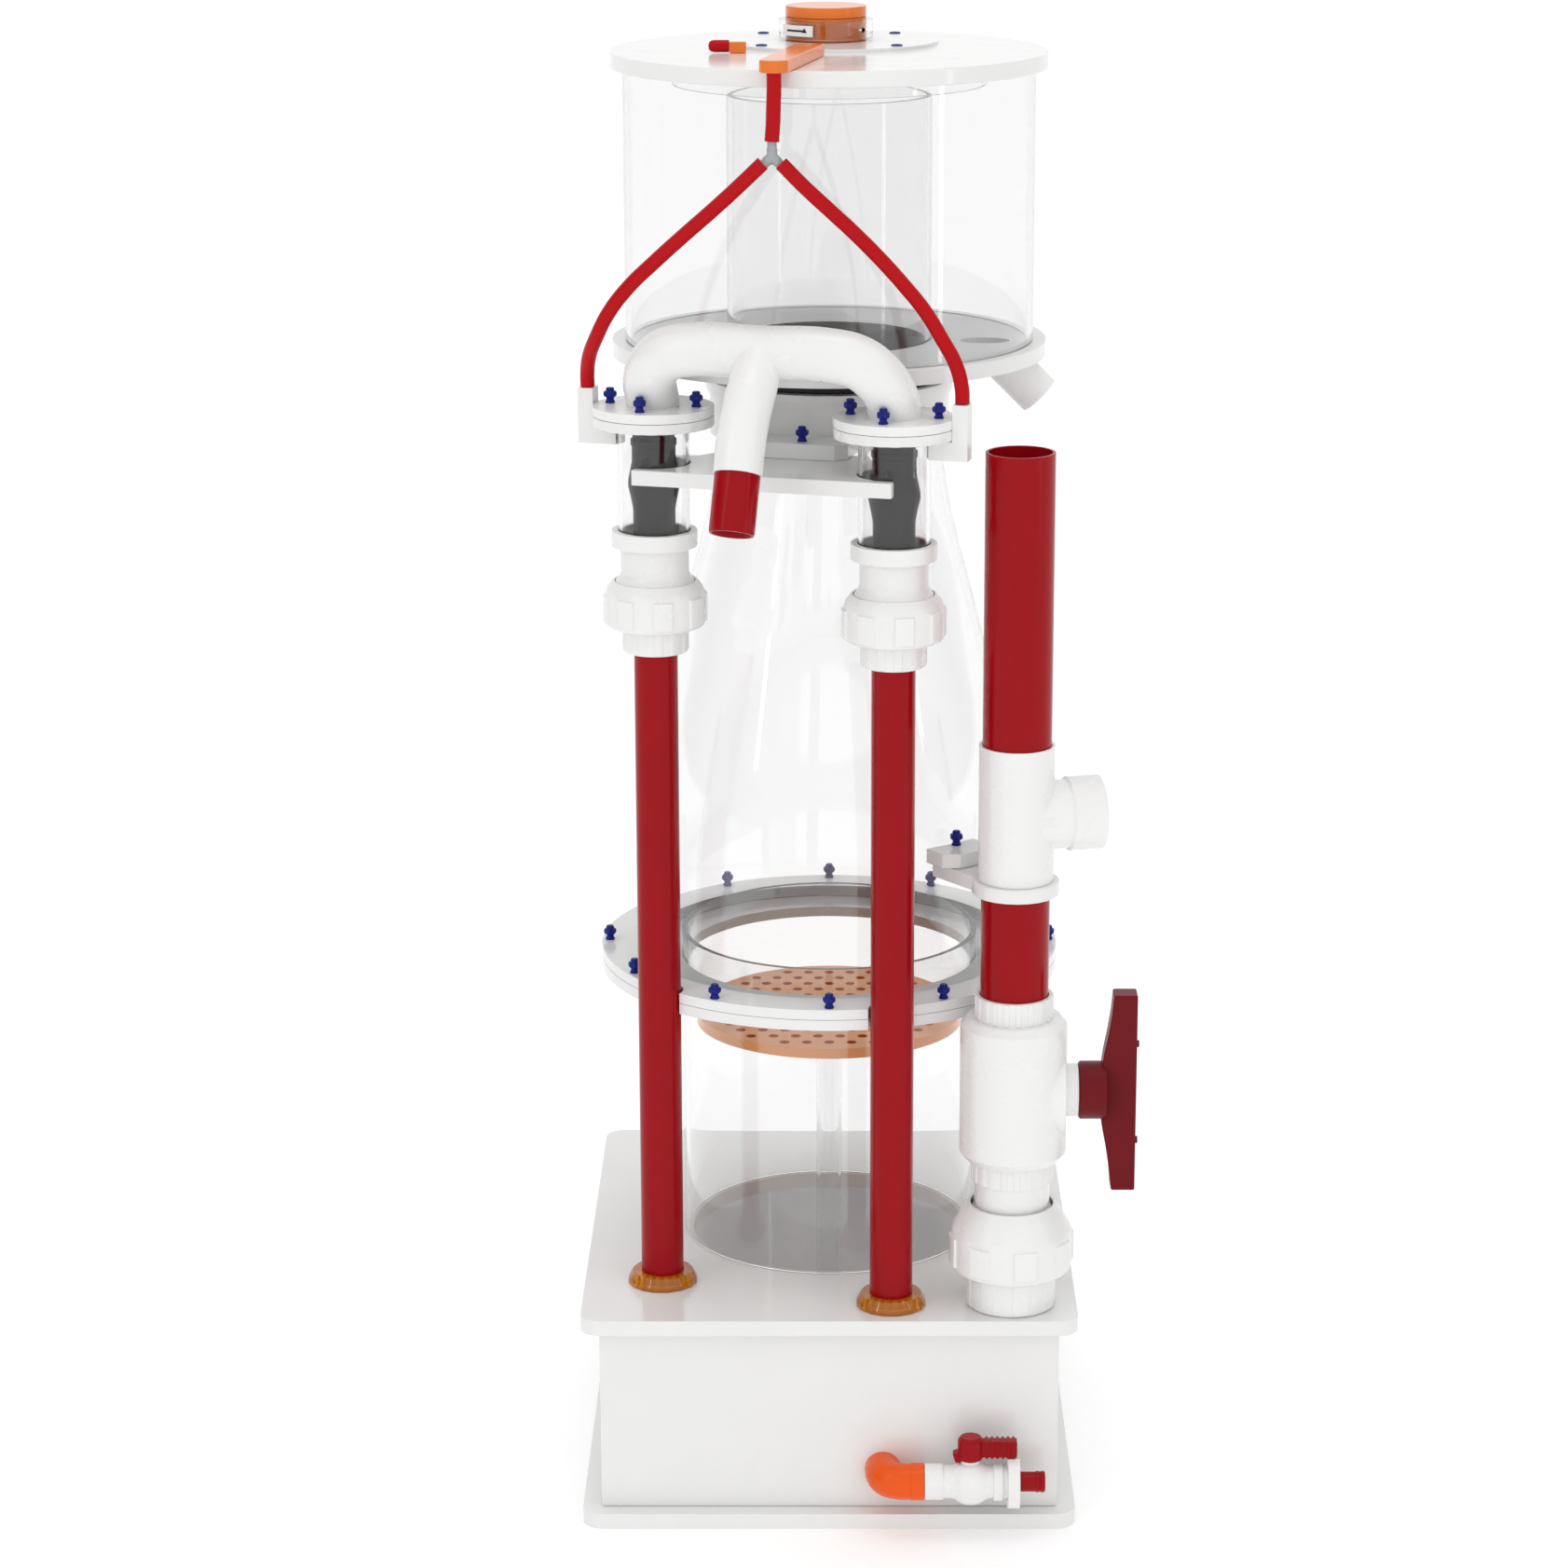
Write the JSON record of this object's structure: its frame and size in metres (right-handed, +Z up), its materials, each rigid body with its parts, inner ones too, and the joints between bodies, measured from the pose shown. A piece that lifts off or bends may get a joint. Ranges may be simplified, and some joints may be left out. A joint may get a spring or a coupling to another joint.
{
  "type": "protein skimmer",
  "caption": "Tall pond protein skimmer: sump box, clear tube and cone, lift-off collection cup, injector columns with manifold, outlet riser with valve.",
  "frame": {"origin": "centre of the base plate's underside, on the axis of the reaction tube, cone and cup", "axes": "+Z up, +X to the outlet riser's side, -Y to the front, where the injector columns and the manifold stand"},
  "size_m": [0.5165, 0.595, 1.3899],
  "materials": {
    "white_acrylic": "polished cast acrylic sheet",
    "white_pvc": "moulded PVC, satin gloss",
    "clear_acrylic": "clear polished acrylic tube",
    "red_pvc": "coloured PVC pipe, glossy",
    "dark_red_plastic": "moulded, satin",
    "red_silicone": "smooth silicone rubber",
    "orange_acrylic": "tinted cast acrylic, polished",
    "orange_plastic": "moulded, glossy",
    "black_plastic": "moulded, satin",
    "grey_plastic": "moulded, translucent satin",
    "blue_nylon": "moulded nylon thumbscrews, satin",
    "black_rubber": "smooth moulded rubber seals"
  },
  "bodies": {
    "stand": {"base_plate": "white_acrylic", "sump_box": "white_acrylic", "top_plate": "white_acrylic", "lower_flange": "white_acrylic", "upper_flange": "white_acrylic", "neck_socket": "white_acrylic", "riser_tab": "white_acrylic", "wing_bracket": "white_acrylic", "riser_bracket": "white_acrylic", "chamber_head_left": "white_acrylic", "chamber_head_right": "white_acrylic", "union_end_left": "white_pvc", "union_end_right": "white_pvc", "union_tail_left": "white_pvc", "union_tail_right": "white_pvc", "chamber_collar_left": "white_pvc", "chamber_collar_right": "white_pvc", "manifold": "white_pvc", "outlet_socket": "white_pvc", "outlet_valve_body": "white_pvc", "tee": "white_pvc", "drain_valve_body": "white_pvc", "reaction_tube": "clear_acrylic", "plate_post": "clear_acrylic", "cone": "clear_acrylic", "chamber_left": "clear_acrylic", "chamber_right": "clear_acrylic", "inlet_pipe_left": "red_pvc", "inlet_pipe_right": "red_pvc", "inlet_barb": "red_pvc", "riser_lower": "red_pvc", "riser_upper": "red_pvc", "drain_barb": "red_pvc", "feed_hose": "red_silicone", "hose_left": "red_silicone", "hose_right": "red_silicone", "bubble_plate": "orange_acrylic", "bulkhead_left": "orange_acrylic", "bulkhead_right": "orange_acrylic", "drain_elbow": "orange_plastic", "injector_left": "black_plastic", "injector_right": "black_plastic", "y_connector": "grey_plastic"},
    "cup": {"cup_floor": "white_acrylic", "cup_tube": "clear_acrylic", "neck_tube": "clear_acrylic", "cup_spout": "white_pvc"},
    "lid_assembly": {"lid": "white_acrylic", "lid_ring": "clear_acrylic", "air_valve_body": "orange_acrylic", "air_valve_cap": "orange_acrylic", "air_bar": "orange_acrylic", "port_block": "orange_acrylic"},
    "air_ring": {"air_valve_ring": "clear_acrylic"},
    "port_plug": {"port_cap": "red_silicone"},
    "nut_left": {"union_nut_left": "white_pvc"},
    "nut_right": {"union_nut_right": "white_pvc"},
    "nut_outlet": {"outlet_nut": "white_pvc"},
    "outlet_ball": {"outlet_handle": "dark_red_plastic"},
    "drain_ball": {"drain_lever": "red_pvc"}
  },
  "joints": [
    {"name": "cup_lift", "type": "slide", "parent": "stand", "child": "cup", "axis": [0, 0, 1], "range_m": [0, 0.15]},
    {"name": "lid_lift", "type": "slide", "parent": "cup", "child": "lid_assembly", "axis": [0, 0, 1], "range_m": [0, 0.1]},
    {"name": "air_ring_turn", "type": "hinge", "parent": "lid_assembly", "child": "air_ring", "pos_m": [-0.003, 0.067, 1.3691], "axis": [0, 0, 1], "range_deg": [0, 90]},
    {"name": "port_cap_pull", "type": "slide", "parent": "lid_assembly", "child": "port_plug", "axis": [-1, 0, 0], "range_m": [0, 0.02]},
    {"name": "union_nut_left_turn", "type": "hinge", "parent": "stand", "child": "nut_left", "pos_m": [-0.15839, -0.15839, 0.8715], "axis": [0, 0, 1], "continuous": true},
    {"name": "union_nut_right_turn", "type": "hinge", "parent": "stand", "child": "nut_right", "pos_m": [0.05797, -0.21637, 0.8715], "axis": [0, 0, 1], "continuous": true},
    {"name": "outlet_nut_turn", "type": "hinge", "parent": "stand", "child": "nut_outlet", "pos_m": [0.1705, -0.212, 0.278], "axis": [0, 0, 1], "continuous": true},
    {"name": "outlet_valve_turn", "type": "hinge", "parent": "stand", "child": "outlet_ball", "pos_m": [0.1705, -0.212, 0.421], "axis": [1, 0, 0], "range_deg": [0, 90]},
    {"name": "drain_valve_turn", "type": "hinge", "parent": "stand", "child": "drain_ball", "pos_m": [0.132, -0.272, 0.054], "axis": [0, 0, -1], "range_deg": [0, 90]}
  ]
}
